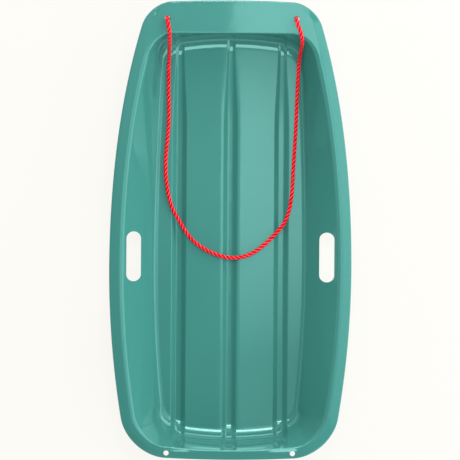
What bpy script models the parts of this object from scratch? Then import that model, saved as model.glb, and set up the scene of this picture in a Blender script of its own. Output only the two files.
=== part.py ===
"""Plastic toboggan with a tow rope, in metres, +Z up.

The sled lies along Y with its front at +Y. Its origin is on the ground under
the middle of its outline, and it stands on the flat bottoms of three keels.

The tub is one moulded sheet. Its upper face is lofted through plan lines: the
outer lip, the inner edge of the flange or deck, and the foot of the wall. A
wall section joins the last two: a crest radius, a straight wall and a fillet.
The keels are grooves in the floor that run on up the front and rear walls.
"""

import math
from dataclasses import dataclass

import bmesh
import bpy
import numpy as np
from mathutils import Vector

# Outline of the sled, seen from above
LENGTH = 1.220
WIDTH = 0.6455
WIDEST_AHEAD = -0.100        # the widest place, ahead of the middle
NOSE_DRAW = 0.086            # how far each side draws in by the front
NOSE_TUCK = 0.0195           # the last, sharper part of that
TAIL_DRAW = 0.0544
END_BOW = 0.0155             # how far the front and rear edges bow back at full width
LIP_CORNER_FRONT = 0.058
LIP_CORNER_REAR = 0.099

# Flange, deck and crest
SIDE_FLANGE = 0.0245
REAR_FLANGE = 0.023
FRONT_FLANGE = 0.024
FRONT_DECK = 0.054           # flat part of the deck, behind the front flange
SIDE_FLANGE_DROP = 0.0045
REAR_FLANGE_DROP = 0.009
FRONT_FLANGE_DROP = 0.0       # the deck runs flat to the lip
CREST_CORNER_FRONT = 0.062
CREST_CORNER_REAR = 0.074
CREST_RADIUS_SIDE = 0.011
CREST_RADIUS_FRONT = 0.005
CREST_RADIUS_REAR = 0.006

# Heights
WALL = 0.0025
RIM_HEIGHT = 0.114           # crest above the ground at the widest place
NOSE_RISE = 0.036
TAIL_RISE = 0.007
FLOOR_SWEEP = 0.022          # how far the floor rises towards the front wall
FLOOR_SWEEP_LENGTH = 0.260

# Walls: how far each runs inwards, and its fillet to the floor
SIDE_RUN = 0.1045
FRONT_RUN = 0.045
REAR_RUN = 0.058
FLOOR_NOSE_DRAW = 0.028
FLOOR_TAIL_DRAW = 0.037
FLOOR_CORNER_FRONT = 0.048
FLOOR_CORNER_REAR = 0.046
SIDE_FILLET = 0.018
FRONT_FILLET = 0.036
REAR_FILLET = 0.033
TOE_CREASE = math.radians(3.0)   # how much steeper than the floor the front fillet ends

# Keels
KEEL_INSET = 0.05625         # from the floor's edge, where it is widest, to an outer keel's middle
KEEL_WIDTH = 0.041
KEEL_BOTTOM = 0.012
KEEL_SHOULDER = 0.002
KEEL_DEPTH = 0.013
KEEL_NOSE_WIDTH = 0.024
KEEL_NOSE_DEPTH = 0.005
KEEL_NOSE_FADE = 0.220       # length over which a keel thins towards the front wall
KEEL_TAIL_DEPTH = 0.009
KEEL_TAIL_FADE = 0.045

# Hand slots, rope holes and rear hitch holes
SLOT_LENGTH = 0.133
SLOT_WIDTH = 0.038
SLOT_INSET = 0.0645          # from the sled's edge to the slot's middle
SLOT_AHEAD = -0.070
ROPE_HOLE = 0.014
ROPE_HOLE_SPACING = 0.343
ROPE_HOLE_SETBACK = 0.0485
HITCH_HOLE = 0.014
HITCH_HOLE_SPACING = 0.336
HITCH_HOLE_SETBACK = 0.018

# Rope, and the stopper knot tied in each of its ends
ROPE_DIAMETER = 0.010
KNOT_RING = 0.0125           # mean radius of the knot's turns
KNOT_LOBE = 0.0058           # how far its lobes swing in and out
KNOT_LIFT = 0.0064           # how far its strands pass over and under
KNOT_TAIL = 0.022
ROPE_END_RUN = 0.010         # straight run on each side of where rope and knot meet
ROPE_END_GAP = 0.0003        # between the rope's end and the knot's

# The rope's route from the left hole to the right one: over the deck's inner edge,
# down to the floor, and round in a loose U that bridges the three keel grooves.
# From each end it runs straight on through its hole.
ROPE_ROUTE = [
    (-0.1714, 0.5588, 0.1478),
    (-0.1708, 0.5530, 0.1538),
    (-0.1690, 0.5432, 0.1562),
    (-0.1670, 0.5310, 0.1528),
    (-0.1661, 0.5190, 0.1447),
    (-0.1667, 0.4820, 0.0870),
    (-0.1675, 0.4520, 0.0465),
    (-0.1682, 0.4150, 0.0340),
    (-0.1676, 0.3660, 0.0282),
    (-0.1670, 0.3010, 0.0236),
    (-0.1709, 0.2370, 0.0215),
    (-0.1748, 0.1720, 0.0211),
    (-0.1700, 0.1150, 0.0211),
    (-0.1600, 0.0710, 0.0212),
    (-0.1505, 0.0484, 0.0204),
    (-0.1373, 0.0264, 0.0190),
    (-0.1240, 0.0040, 0.0204),
    (-0.1120, -0.0134, 0.0211),
    (-0.0863, -0.0383, 0.0211),
    (-0.0550, -0.0567, 0.0212),
    (-0.0240, -0.0682, 0.0213),
    (0.0010, -0.0725, 0.0204),
    (0.0270, -0.0715, 0.0213),
    (0.0565, -0.0618, 0.0211),
    (0.1120, -0.0184, 0.0211),
    (0.1250, -0.0047, 0.0203),
    (0.1370, 0.0090, 0.0190),
    (0.1480, 0.0258, 0.0203),
    (0.1580, 0.0530, 0.0211),
    (0.1689, 0.1570, 0.0211),
    (0.1723, 0.2206, 0.0213),
    (0.1757, 0.2853, 0.0226),
    (0.1790, 0.3900, 0.0302),
    (0.1820, 0.4560, 0.0500),
    (0.1853, 0.4900, 0.1070),
    (0.1853, 0.5080, 0.1430),
    (0.1810, 0.5270, 0.1535),
    (0.1742, 0.5447, 0.1562),
    (0.1722, 0.5530, 0.1538),
    (0.1716, 0.5588, 0.1478),
]

# The knot's lead-in, as (across, up, forward) from its middle
KNOT_LEAD = [
    (0.0188, 0.0262, 0.0014),
    (0.0180, 0.0192, 0.0052),
    (0.0122, 0.0132, 0.0066),
]

# Mesh fineness
ROPE_STEP = 0.028
ROPE_TURN = math.radians(14)
ROPE_SIDES = 2               # bevel resolution
ROPE_SAMPLING = 0.001
KNOT_STEP = 0.0055
KNOT_SAMPLING = 0.0005
KNOT_PIECES = 20
ARC_STEPS = 5
TRAIL_STEPS = 2
CORE_CORNER = 4              # corner station at which the floor's grid turns
SIDE_ROWS = 13
END_ROWS = 0.087             # the side rows start this far in from the floor's ends
CREST_STEPS = 2
FILLET_STEPS = 3
HOLE_SIDES = 20

FRONT, REAR = 1, -1
CUT_DEPTH = 2 * (RIM_HEIGHT + NOSE_RISE + TAIL_RISE)
FLOOR_TOP = KEEL_DEPTH + WALL


@dataclass(frozen=True)
class PlanLine:
    """A closed line round the tub, seen from above."""

    half_width: float
    front: float
    rear: float
    nose_draw: float
    nose_tuck: float
    tail_draw: float
    corner_front: float
    corner_rear: float

    def side(self, y):
        """Half width of the line at y."""
        if y > WIDEST_AHEAD:
            reach = (y - WIDEST_AHEAD) / (LENGTH / 2 - WIDEST_AHEAD)
            return self.half_width - self.nose_draw * reach**2 - self.nose_tuck * reach**4
        reach = (WIDEST_AHEAD - y) / (LENGTH / 2 + WIDEST_AHEAD)
        return self.half_width - self.tail_draw * reach**2

    def end(self, x, end):
        """Y of the line's front or rear edge at x."""
        reach = self.front if end == FRONT else self.rear
        return end * (reach - END_BOW * (2 * x / WIDTH) ** 2)

    def corner(self, angle, end):
        """Point of a corner, at an angle of 0 on the end and 90 degrees on the side."""
        radius = self.corner_front if end == FRONT else self.corner_rear
        x, y = self.half_width, self.end(self.half_width, end)
        for _ in range(12):
            x = self.side(y) - radius * (1 - math.sin(angle))
            y = self.end(x, end) - end * radius * (1 - math.cos(angle))
        return x, y

    def angle_at(self, x, end):
        """Angle of the corner at which the line reaches x."""
        low, high = 0.0, math.pi / 2
        for _ in range(40):
            middle = (low + high) / 2
            if self.corner(middle, end)[0] < x:
                low = middle
            else:
                high = middle
        return low

    def across(self, x, end):
        """Point of the line's front or rear at x, on its edge or in its corner."""
        if x <= self.corner(0.0, end)[0]:
            return x, self.end(x, end)
        return x, self.corner(self.angle_at(x, end), end)[1]


def inset(line, side, front, rear, corner_front, corner_rear, nose=0.0, tuck=0.0, tail=0.0):
    """A line inside another, with what its sides draw in less by the ends."""
    return PlanLine(
        line.half_width - side,
        line.front - front,
        line.rear - rear,
        line.nose_draw - nose,
        line.nose_tuck - tuck,
        line.tail_draw - tail,
        corner_front,
        corner_rear,
    )


LIP = PlanLine(
    WIDTH / 2, LENGTH / 2, LENGTH / 2, NOSE_DRAW, NOSE_TUCK, TAIL_DRAW,
    LIP_CORNER_FRONT, LIP_CORNER_REAR,
)
# The flange's inner edge, which is the deck's outer edge at the front
FLANGE_SHARE = 0.8
FLANGE = inset(
    LIP, SIDE_FLANGE * FLANGE_SHARE, FRONT_FLANGE, REAR_FLANGE * FLANGE_SHARE,
    LIP_CORNER_FRONT - SIDE_FLANGE * FLANGE_SHARE, LIP_CORNER_REAR - SIDE_FLANGE * FLANGE_SHARE,
)
CREST = inset(
    LIP, SIDE_FLANGE, FRONT_FLANGE + FRONT_DECK, REAR_FLANGE, CREST_CORNER_FRONT, CREST_CORNER_REAR
)
FLOOR = inset(
    CREST, SIDE_RUN, FRONT_RUN, REAR_RUN, FLOOR_CORNER_FRONT, FLOOR_CORNER_REAR,
    NOSE_DRAW - FLOOR_NOSE_DRAW, NOSE_TUCK, TAIL_DRAW - FLOOR_TAIL_DRAW,
)

KEEL_SPACING = FLOOR.half_width - KEEL_INSET
ROW_FRONT = FLOOR.front - END_ROWS
ROW_REAR = END_ROWS - FLOOR.rear


def smooth(value):
    """Ease from 0 to 1."""
    value = min(max(value, 0.0), 1.0)
    return value * value * (3 - 2 * value)


def blend(start, finish, share):
    """A value between two others."""
    return start + (finish - start) * share


def rim_height(y):
    """Height of the crest at y."""
    if y > WIDEST_AHEAD:
        return RIM_HEIGHT + NOSE_RISE * ((y - WIDEST_AHEAD) / (LENGTH / 2 - WIDEST_AHEAD)) ** 2
    return RIM_HEIGHT + TAIL_RISE * ((WIDEST_AHEAD - y) / (LENGTH / 2 + WIDEST_AHEAD)) ** 2


def floor_height(y):
    """Height of the floor's upper face at y."""
    swept = max(0.0, y - FLOOR.front + FLOOR_SWEEP_LENGTH) / FLOOR_SWEEP_LENGTH
    return FLOOR_TOP + FLOOR_SWEEP * swept * swept


def floor_slope(y):
    """Angle at which the floor rises at y."""
    swept = max(0.0, y - FLOOR.front + FLOOR_SWEEP_LENGTH) / FLOOR_SWEEP_LENGTH
    return math.atan(2 * FLOOR_SWEEP * swept / FLOOR_SWEEP_LENGTH)


def deck_slope(y):
    """Angle at which the front deck rises at y."""
    ahead = LENGTH / 2 - WIDEST_AHEAD
    return math.atan(2 * NOSE_RISE * (y - WIDEST_AHEAD) / ahead**2)


def keel_thinning(y):
    """0 where a keel has its full section, 1 at the front wall."""
    return smooth((y - FLOOR.front + KEEL_NOSE_FADE) / KEEL_NOSE_FADE)


def keel_depth(y):
    """Depth of the keel grooves below the floor at y."""
    depth = blend(KEEL_DEPTH, KEEL_NOSE_DEPTH, keel_thinning(y))
    tail = smooth((KEEL_TAIL_FADE - FLOOR.rear - y) / KEEL_TAIL_FADE)
    return blend(depth, KEEL_TAIL_DEPTH, tail)


@dataclass(frozen=True)
class Column:
    """A line of points from the front edge to the rear edge."""

    centre: float
    offset: float
    sunk: float

    def x(self, y):
        """Place of the column, which follows its keel's width."""
        return self.centre + self.offset * blend(1.0, KEEL_NOSE_WIDTH / KEEL_WIDTH, keel_thinning(y))


def keel_columns(centre):
    """Columns of one keel, from its left shoulder to its right one."""
    edge = KEEL_WIDTH / 2
    rounding = KEEL_SHOULDER / (KEEL_WIDTH - KEEL_BOTTOM)
    section = [(edge, 0.0), (edge - KEEL_SHOULDER, rounding), (KEEL_BOTTOM / 2, 1.0)]
    left = [Column(centre, -offset, sunk) for offset, sunk in section]
    right = [Column(centre, offset, sunk) for offset, sunk in reversed(section)]
    return left + right


HALF_COLUMNS = (
    [column for column in keel_columns(0.0) if column.offset > 0]
    + [Column(KEEL_SPACING / 2, 0.0, 0.0)]
    + keel_columns(KEEL_SPACING)
)


@dataclass(frozen=True)
class Station:
    """One place round the tub: its point on a line, how much it belongs to the side,
    and how far the keel groove is sunk there."""

    x: float
    y: float
    sideways: float
    end: int
    sunk: float


def end_stations(line, end):
    """Stations of the right half of the front or rear, from the middle outwards."""
    stations = []
    for column in HALF_COLUMNS:
        y = line.end(column.centre, end)
        for _ in range(4):
            x, y = line.across(column.x(y), end)
        stations.append(Station(x, y, 0.0, end, column.sunk))
    return stations


def corner_stations(line, end):
    """Stations round a corner, after the last column and up to the first side row."""
    last = end_stations(line, end)[-1]
    start, first = 0.0, 0
    if last.x >= line.corner(0.0, end)[0]:
        start, first = line.angle_at(last.x, end), 1
    steps = ARC_STEPS + first
    stations = []
    for step in range(first, steps + 1):
        angle = blend(start, math.pi / 2, step / steps)
        x, y = line.corner(angle, end)
        stations.append(Station(x, y, math.sin(angle) ** 2, end, 0.0))
    arc_end = stations[-1].y
    row = ROW_FRONT if end == FRONT else ROW_REAR
    for step in range(1, TRAIL_STEPS + 1):
        y = blend(arc_end, row, step / TRAIL_STEPS)
        stations.append(Station(line.side(y), y, 1.0, end, 0.0))
    return stations


def half_ring(line):
    """Stations of the right half of a line, from its front to its rear."""
    rows = []
    for step in range(1, SIDE_ROWS):
        y = blend(ROW_FRONT, ROW_REAR, step / SIDE_ROWS)
        rows.append(Station(line.side(y), y, 1.0, FRONT if y > 0 else REAR, 0.0))
    front = end_stations(line, FRONT) + corner_stations(line, FRONT)
    rear = end_stations(line, REAR) + corner_stations(line, REAR)
    return front + rows + rear[::-1]


def wall_section(run, drop, slope, crest_radius, fillet_radius, toe):
    """Points (inwards, down) of a wall, from the flange's end to the floor.

    The crest arc leaves the flange at its slope, the straight wall touches the crest
    arc and the fillet, and the fillet meets the floor at the toe angle.
    """
    centre_in = crest_radius * math.sin(slope)
    centre_down = crest_radius * math.cos(slope)
    fillet_in = run + fillet_radius * math.sin(toe)
    fillet_down = drop - fillet_radius * math.cos(toe)
    across = fillet_in - centre_in
    down = fillet_down - centre_down
    reach = min((crest_radius + fillet_radius) / math.hypot(across, down), 1.0)
    steepness = math.atan2(down, across) + math.asin(reach)
    points = []
    for step in range(1, CREST_STEPS + 1):
        angle = blend(-slope, steepness, step / CREST_STEPS)
        points.append(
            (centre_in + crest_radius * math.sin(angle), centre_down - crest_radius * math.cos(angle), angle)
        )
    for step in range(FILLET_STEPS):
        angle = blend(steepness, toe, step / FILLET_STEPS)
        points.append(
            (
                fillet_in - fillet_radius * math.sin(angle),
                fillet_down + fillet_radius * math.cos(angle),
                angle,
            )
        )
    return points


def flange_size(station):
    """Width and drop of the flange at a station."""
    width = FRONT_FLANGE if station.end == FRONT else REAR_FLANGE
    drop = FRONT_FLANGE_DROP if station.end == FRONT else REAR_FLANGE_DROP
    return (
        blend(width, SIDE_FLANGE, station.sideways),
        blend(drop, SIDE_FLANGE_DROP, station.sideways),
    )


def wall_points(crest, foot):
    """Points of the tub's upper face between the crest line and the floor line."""
    front = crest.end == FRONT
    width, flange_drop = flange_size(crest)
    flange_slope = math.atan2(flange_drop, width)
    slope = blend(-deck_slope(crest.y) if front else flange_slope, flange_slope, crest.sideways)
    crest_radius = blend(
        CREST_RADIUS_FRONT if front else CREST_RADIUS_REAR, CREST_RADIUS_SIDE, crest.sideways
    )
    fillet = blend(FRONT_FILLET if front else REAR_FILLET, SIDE_FILLET, crest.sideways)
    toe = blend(floor_slope(foot.y) + TOE_CREASE, 0.0, foot.sideways) if front else 0.0
    start = Vector((crest.x, crest.y, rim_height(crest.y)))
    finish = Vector((foot.x, foot.y, floor_height(foot.y)))
    plan = Vector((finish.x - start.x, finish.y - start.y, 0.0))
    run, drop = plan.length, start.z - finish.z
    plan.normalize()
    sunk = keel_depth(foot.y) * foot.sunk
    points = []
    for inwards, down, angle in wall_section(run, drop, slope, crest_radius, fillet, toe):
        risen = 1 - down / drop
        out = Vector((-plan.x * math.sin(angle), -plan.y * math.sin(angle), -math.cos(angle)))
        point = start + plan * inwards - Vector((0.0, 0.0, down))
        points.append(point + out * (sunk * (1 - max(risen, 0.0) ** 2)))
    return points


def ring_lines():
    """Right halves of the rings round the floor, from the outer lip to the floor line."""
    lip, flange, crest, foot = (half_ring(line) for line in (LIP, FLANGE, CREST, FLOOR))
    rings = []
    for outer, middle, inner, base in zip(lip, flange, crest, foot, strict=True):
        _, drop = flange_size(inner)
        kept = blend(0.0 if inner.end == FRONT else 1 - FLANGE_SHARE, 1 - FLANGE_SHARE, inner.sideways)
        points = [
            Vector((outer.x, outer.y, rim_height(outer.y) - drop)),
            Vector((middle.x, middle.y, rim_height(middle.y) - drop * kept)),
            Vector((inner.x, inner.y, rim_height(inner.y))),
        ]
        points += wall_points(inner, base)
        sunk = keel_depth(base.y) * base.sunk
        points.append(Vector((base.x, base.y, floor_height(base.y) - sunk)))
        rings.append(points)
    return [list(ring) for ring in zip(*rings, strict=True)]


def floor_grid(border):
    """Right half of the floor as rows of points, with the given floor line as border."""
    across = len(HALF_COLUMNS) + CORE_CORNER
    rows = len(border) - 2 * (across - 1)
    front, rear = border[:across], border[::-1][:across]
    side = border[across - 1 : across - 1 + rows]
    grid = [front]
    for index in range(1, rows - 1):
        edge = side[index]
        ahead = edge.y > (ROW_FRONT + ROW_REAR) / 2
        end, row = (front, ROW_FRONT) if ahead else (rear, ROW_REAR)
        share = (edge.y - row) / (end[-1].y - row)
        line = []
        for place, start in enumerate(end[:-1]):
            y = blend(row, start.y, share) if share > 0 else edge.y
            if place < len(HALF_COLUMNS):
                column = HALF_COLUMNS[place]
                x, sunk = column.x(y), column.sunk
            else:
                last = HALF_COLUMNS[-1].x(y)
                strip = (place - len(HALF_COLUMNS) + 1) / CORE_CORNER
                x, sunk = blend(last, edge.x, strip), 0.0
            line.append(Vector((x, y, floor_height(y) - sunk * keel_depth(y))))
        line.append(edge)
        grid.append(line)
    grid.append(rear)
    return grid


def add_grid(mesh, rows):
    """Fill quads between rows of points, in a mesh that merges its doubles later."""
    placed = [[mesh.verts.new(point) for point in row] for row in rows]
    for above, below in zip(placed, placed[1:]):
        for left in range(len(above) - 1):
            corners = (above[left], below[left], below[left + 1], above[left + 1])
            mesh.faces.new(corners)


def mirrored(points):
    """The points of the other half, in reverse."""
    return [Vector((-point.x, point.y, point.z)) for point in reversed(points)]


def material(name, colour, roughness, metallic=0.0):
    """A plain finish."""
    finish = bpy.data.materials.new(name)
    finish.use_nodes = True
    shader = finish.node_tree.nodes["Principled BSDF"]
    shader.inputs["Base Color"].default_value = (*colour, 1.0)
    shader.inputs["Roughness"].default_value = roughness
    shader.inputs["Metallic"].default_value = metallic
    return finish


def add_object(name, mesh, finish):
    """Put a mesh in the scene under its node's name."""
    data = bpy.data.meshes.new(name)
    mesh.to_mesh(data)
    mesh.free()
    item = bpy.data.objects.new(name, data)
    bpy.context.collection.objects.link(item)
    item.data.materials.append(finish)
    return item


def add_prism(mesh, centre, length, width):
    """Add an upright prism with round ends, long in Y, that cuts right through."""
    radius = width / 2
    half = max(length - width, 0.0) / 2
    outline = []
    for step in range(HOLE_SIDES):
        angle = 2 * math.pi * (step + 0.5) / HOLE_SIDES
        shift = half if math.sin(angle) > 0 else -half
        outline.append((centre[0] + radius * math.cos(angle), centre[1] + shift + radius * math.sin(angle)))
    low = [mesh.verts.new((x, y, -CUT_DEPTH)) for x, y in outline]
    high = [mesh.verts.new((x, y, CUT_DEPTH)) for x, y in outline]
    mesh.faces.new(low[::-1])
    mesh.faces.new(high)
    for step in range(HOLE_SIDES):
        after = (step + 1) % HOLE_SIDES
        mesh.faces.new((low[step], low[after], high[after], high[step]))


def hole_cutter():
    """One cutter with the hand slots, the rope holes and the hitch holes."""
    mesh = bmesh.new()
    for side in (-1, 1):
        slot_x = side * (LIP.side(SLOT_AHEAD) - SLOT_INSET)
        add_prism(mesh, (slot_x, SLOT_AHEAD), SLOT_LENGTH, SLOT_WIDTH)
        rope_hole = (side * ROPE_HOLE_SPACING / 2, LENGTH / 2 - ROPE_HOLE_SETBACK)
        add_prism(mesh, rope_hole, ROPE_HOLE, ROPE_HOLE)
        hitch_hole = (side * HITCH_HOLE_SPACING / 2, HITCH_HOLE_SETBACK - LENGTH / 2)
        add_prism(mesh, hitch_hole, HITCH_HOLE, HITCH_HOLE)
    cutter = add_object("hole_cutter", mesh, material("cutter", (0.5, 0.5, 0.5), 0.5))
    cutter.hide_render = True
    cutter.display_type = "WIRE"
    return cutter


def build_shell():
    """The moulded tub: an open lofted face, thickened downwards, with its holes cut."""
    mesh = bmesh.new()
    rings = ring_lines()
    halves = [ring + mirrored(ring) for ring in rings]
    add_grid(mesh, [ring + [ring[0]] for ring in halves])
    half_floor = floor_grid(rings[-1])
    add_grid(mesh, [mirrored(row) + row for row in half_floor])
    bmesh.ops.remove_doubles(mesh, verts=mesh.verts, dist=1e-6)
    bmesh.ops.recalc_face_normals(mesh, faces=mesh.faces)
    if sum(face.normal.z for face in mesh.faces) < 0:
        bmesh.ops.reverse_faces(mesh, faces=mesh.faces)
    shell = add_object("shell", mesh, material("teal_plastic", (0.10, 0.36, 0.31), 0.25))
    sheet = shell.modifiers.new("sheet", "SOLIDIFY")
    sheet.thickness = WALL
    sheet.offset = -1.0
    sheet.use_even_offset = True
    holes = shell.modifiers.new("holes", "BOOLEAN")
    holes.operation = "DIFFERENCE"
    holes.solver = "EXACT"
    holes.object = hole_cutter()
    shell.data.shade_smooth()
    return shell


def smooth_curve(route, spacing=ROPE_SAMPLING):
    """Points at a fine, even spacing along the smooth curve through a route."""
    route = np.array(route)
    chords = np.linalg.norm(np.diff(route, axis=0), axis=1)
    places = np.concatenate([[0.0], np.cumsum(chords)])
    count = len(route)
    matrix, right = np.zeros((count, count)), np.zeros((count, 3))
    matrix[0, 0] = matrix[-1, -1] = 1.0
    for row in range(1, count - 1):
        before, after = chords[row - 1], chords[row]
        matrix[row, row - 1 : row + 2] = before, 2 * (before + after), after
        step_after = (route[row + 1] - route[row]) / after
        step_before = (route[row] - route[row - 1]) / before
        right[row] = 6 * (step_after - step_before)
    bending = np.linalg.solve(matrix, right)
    samples = np.linspace(0.0, places[-1], int(places[-1] / spacing) + 1)
    piece = np.clip(np.searchsorted(places, samples, side="right") - 1, 0, count - 2)
    span = chords[piece][:, None]
    share = (samples[:, None] - places[piece][:, None]) / span
    rest = 1 - share
    bend = (rest**3 - rest) * bending[piece] + (share**3 - share) * bending[piece + 1]
    return rest * route[piece] + share * route[piece + 1] + bend * span**2 / 6


def curve_length(points):
    """Length of a line of points."""
    return float(np.linalg.norm(np.diff(points, axis=0), axis=1).sum())


def thinned(points, longest, sharpest):
    """Every point of a fine line where it has run or turned far enough, and its ends."""
    steps = np.diff(points, axis=0)
    lengths = np.linalg.norm(steps, axis=1)
    headings = steps / lengths[:, None]
    kept, run, turn = [points[0]], 0.0, 0.0
    for place in range(1, len(steps)):
        run += lengths[place - 1]
        turn += math.acos(min(1.0, float(headings[place - 1] @ headings[place])))
        if run >= longest or turn >= sharpest:
            kept.append(points[place])
            run, turn = 0.0, 0.0
    if run < longest / 3 and len(kept) > 1:
        kept.pop()
    return kept + [points[-1]]


def least_gap(points, diameter):
    """Least gap between two stretches of a tube that aren't neighbours."""
    along = np.concatenate([[0.0], np.cumsum(np.linalg.norm(np.diff(points, axis=0), axis=1))])
    distance = np.linalg.norm(points[:, None] - points[None, :], axis=2)
    apart = np.abs(along[:, None] - along[None, :]) > math.pi / 2 * diameter
    return float(distance[apart].min()) - diameter


def add_tube(name, points, finish):
    """A round tube along a line of points, with closed ends."""
    data = bpy.data.curves.new(name, "CURVE")
    data.dimensions = "3D"
    data.bevel_depth = ROPE_DIAMETER / 2
    data.bevel_resolution = ROPE_SIDES
    data.use_fill_caps = True
    spline = data.splines.new("POLY")
    spline.points.add(len(points) - 1)
    for point, place in zip(spline.points, points, strict=True):
        point.co = (*place, 1.0)
    item = bpy.data.objects.new(name, data)
    bpy.context.collection.objects.link(item)
    data.materials.append(finish)
    return item


def knot_route(start, side):
    """Route of an overhand knot that hangs from a point under its hole.

    Its middle is a trefoil with one lobe left open: the lead-in reaches one side of
    the opening from above, and the tail leaves the other side downwards.
    """
    turns = []
    for piece in range(KNOT_PIECES + 1):
        angle = blend(math.pi / 6, math.pi * 11 / 6, piece / KNOT_PIECES)
        reach = KNOT_RING + KNOT_LOBE * math.cos(3 * angle)
        height = KNOT_LIFT * math.sin(3 * angle)
        turns.append((reach * math.cos(2 * angle), reach * math.sin(2 * angle), height))
    tail = [(across, -up, -forward) for across, up, forward in KNOT_LEAD[:0:-1]]
    tail_end = (tail[-1][0], tail[-1][1] - KNOT_TAIL, tail[-1][2])
    local = np.array([*KNOT_LEAD, *turns, *tail, tail_end]) - KNOT_LEAD[0]
    return start + np.stack([side * local[:, 0], local[:, 2], local[:, 1]], axis=1)


def heading_out(points):
    """Direction in which a line of points leaves its first point, away from the rest."""
    return (points[0] - points[1]) / np.linalg.norm(points[0] - points[1])


def build_rope():
    """The tow rope, and the knots that stop its ends under the deck."""
    finish = material("red_rope", (0.80, 0.01, 0.03), 0.55)
    rope = smooth_curve(ROPE_ROUTE)
    ends = []
    for name, line, side in (
        ("left_stopper_knot", rope, -1),
        ("right_stopper_knot", rope[::-1], 1),
    ):
        heading = heading_out(line)
        ends.append(line[0] + ROPE_END_RUN * heading)
        start = ends[-1] + ROPE_END_GAP * heading
        knot = smooth_curve(knot_route(start + ROPE_END_RUN * heading, side), KNOT_SAMPLING)
        add_tube(name, [start, *thinned(knot, KNOT_STEP, ROPE_TURN)], finish)
        gap = least_gap(knot, ROPE_DIAMETER) * 1000
        length = curve_length(knot) + ROPE_END_RUN
        print(f"{name}: {length:.3f} m of rope, least gap to itself {gap:.2f} mm")
    add_tube("tow_rope", [ends[0], *thinned(rope, ROPE_STEP, ROPE_TURN), ends[1]], finish)
    print(f"tow_rope: {curve_length(rope) + 2 * ROPE_END_RUN:.3f} m from end to end")


def main():
    for item in list(bpy.data.objects):
        bpy.data.objects.remove(item)
    build_shell()
    build_rope()


main()
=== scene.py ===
"""Studio view of a moulded plastic toboggan with a twisted tow rope, in metres, +Z up.

The sled lies along Y with its front at +Y. The tub is modelled again as a fine sheet
over its plain solid, and the rope and its two stopper knots get their three strands.
"""

import logging
from collections.abc import Sequence
from dataclasses import dataclass, field, replace
from enum import Enum
from math import asin, atan, atan2, copysign, cos, exp, hypot, pi, radians, sin, sqrt, tan, tau

import bmesh
import bpy
import numpy as np
from bmesh.types import BMesh, BMFace
from bpy.types import ID, Light, Material, Node, NodeTree, Object, World
from bpy.types import NodeSocket as Socket
from mathutils import Matrix, Vector


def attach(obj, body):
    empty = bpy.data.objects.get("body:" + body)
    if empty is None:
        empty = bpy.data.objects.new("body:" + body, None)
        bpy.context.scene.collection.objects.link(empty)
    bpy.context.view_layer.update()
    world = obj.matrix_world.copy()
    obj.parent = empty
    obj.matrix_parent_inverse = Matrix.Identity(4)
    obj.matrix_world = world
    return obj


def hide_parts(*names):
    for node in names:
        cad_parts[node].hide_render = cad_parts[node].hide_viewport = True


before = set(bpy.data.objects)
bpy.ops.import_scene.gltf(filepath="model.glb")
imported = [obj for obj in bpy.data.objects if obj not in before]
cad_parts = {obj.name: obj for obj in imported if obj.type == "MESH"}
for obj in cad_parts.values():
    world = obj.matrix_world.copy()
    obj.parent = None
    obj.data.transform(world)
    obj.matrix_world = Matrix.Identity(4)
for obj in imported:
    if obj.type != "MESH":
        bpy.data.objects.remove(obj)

LOG = logging.getLogger("toboggan")
Ring = list[Vector]
Pair = tuple[float, float]
Triple = tuple[float, float, float]
SocketOrValue = Socket | float
UP = Vector((0.0, 0.0, 1.0))
# Rounds in which a corner's point, its angle and the end of a column settle
CORNER_ROUNDS, ANGLE_ROUNDS, COLUMN_ROUNDS = 12, 30, 4

# Level lamps: name, left and right edge, rear and front edge, radiance, and the radiance
# at the front edge if that differs
LEVEL_CARDS = (
    ("right_rear", (0.055, 0.9), (-0.95, -0.5), 0.9, 0.6),
    ("right_middle", (0.055, 0.9), (-0.5, -0.05), 0.6, 2.4),
    ("right_centre", (0.055, 0.9), (-0.05, 0.2), 2.4, 2.95),
    ("right_front", (0.055, 0.9), (0.2, 0.5), 2.95),
    ("left", (-0.8, 0.055), (-0.2, 0.5), 0.05, 0.5),
    ("right_near", (0.9, 1.5), (0.0, 0.5), 0.5),
    ("right_side", (1.5, 2.2), (-1.2, 1.2), 0.1, 2.8),
    ("right_far", (2.2, 3.2), (-1.2, 1.2), 1.25),
    ("left_side", (-1.5, -0.9), (-0.2, 1.2), 0.05, 0.9),
    ("front_near", (-0.34, 0.44), (0.55, 0.95), 9.0),
    ("front_core", (-0.34, 0.12), (0.95, 1.4), 23.0),
    ("front_side", (0.12, 0.44), (0.95, 1.4), 13.0),
    ("front_back", (-0.34, 0.44), (1.4, 2.1), 7.5),
    ("front_left", (-1.3, -0.62), (0.65, 1.35), 8.0),
    ("corner", (0.46, 1.5), (0.5, 0.65), 2.2),
    ("front_right", (0.62, 0.9), (0.65, 1.35), 10.0),
    ("far_front", (-1.0, 1.1), (2.2, 3.2), 1.0),
    ("rear", (-0.25, 0.47), (-2.5, -0.95), 6.0),
)
# Lamps round the sled: azimuth in degrees, and the radiance of a high and a low one,
# where 0 leaves it out
SIDE_PANELS = (
    (0, 2.8, 1.1), (45, 4.0, 3.7), (90, 0.0, 4.0), (135, 0.7, 1.5),
    (180, 1.0, 0.0), (225, 0.0, 1.2), (270, 0.1, 1.2), (315, 3.2, 3.5),
)


class End(Enum):
    """The two ends of the sled."""

    FRONT = 1
    REAR = -1


def blend(start: float, finish: float, share: float) -> float:
    """A value between two others."""
    return start + (finish - start) * share


def steps(count: int) -> list[float]:
    """Even shares above 0, up to 1."""
    return [step / count for step in range(1, count + 1)]


def make_active(item: Object) -> None:
    """Select one object alone and make it active.

    Args:
        item: The object.
    """
    bpy.ops.object.select_all(action="DESELECT")
    item.select_set(True)
    bpy.context.view_layer.objects.active = item


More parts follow.
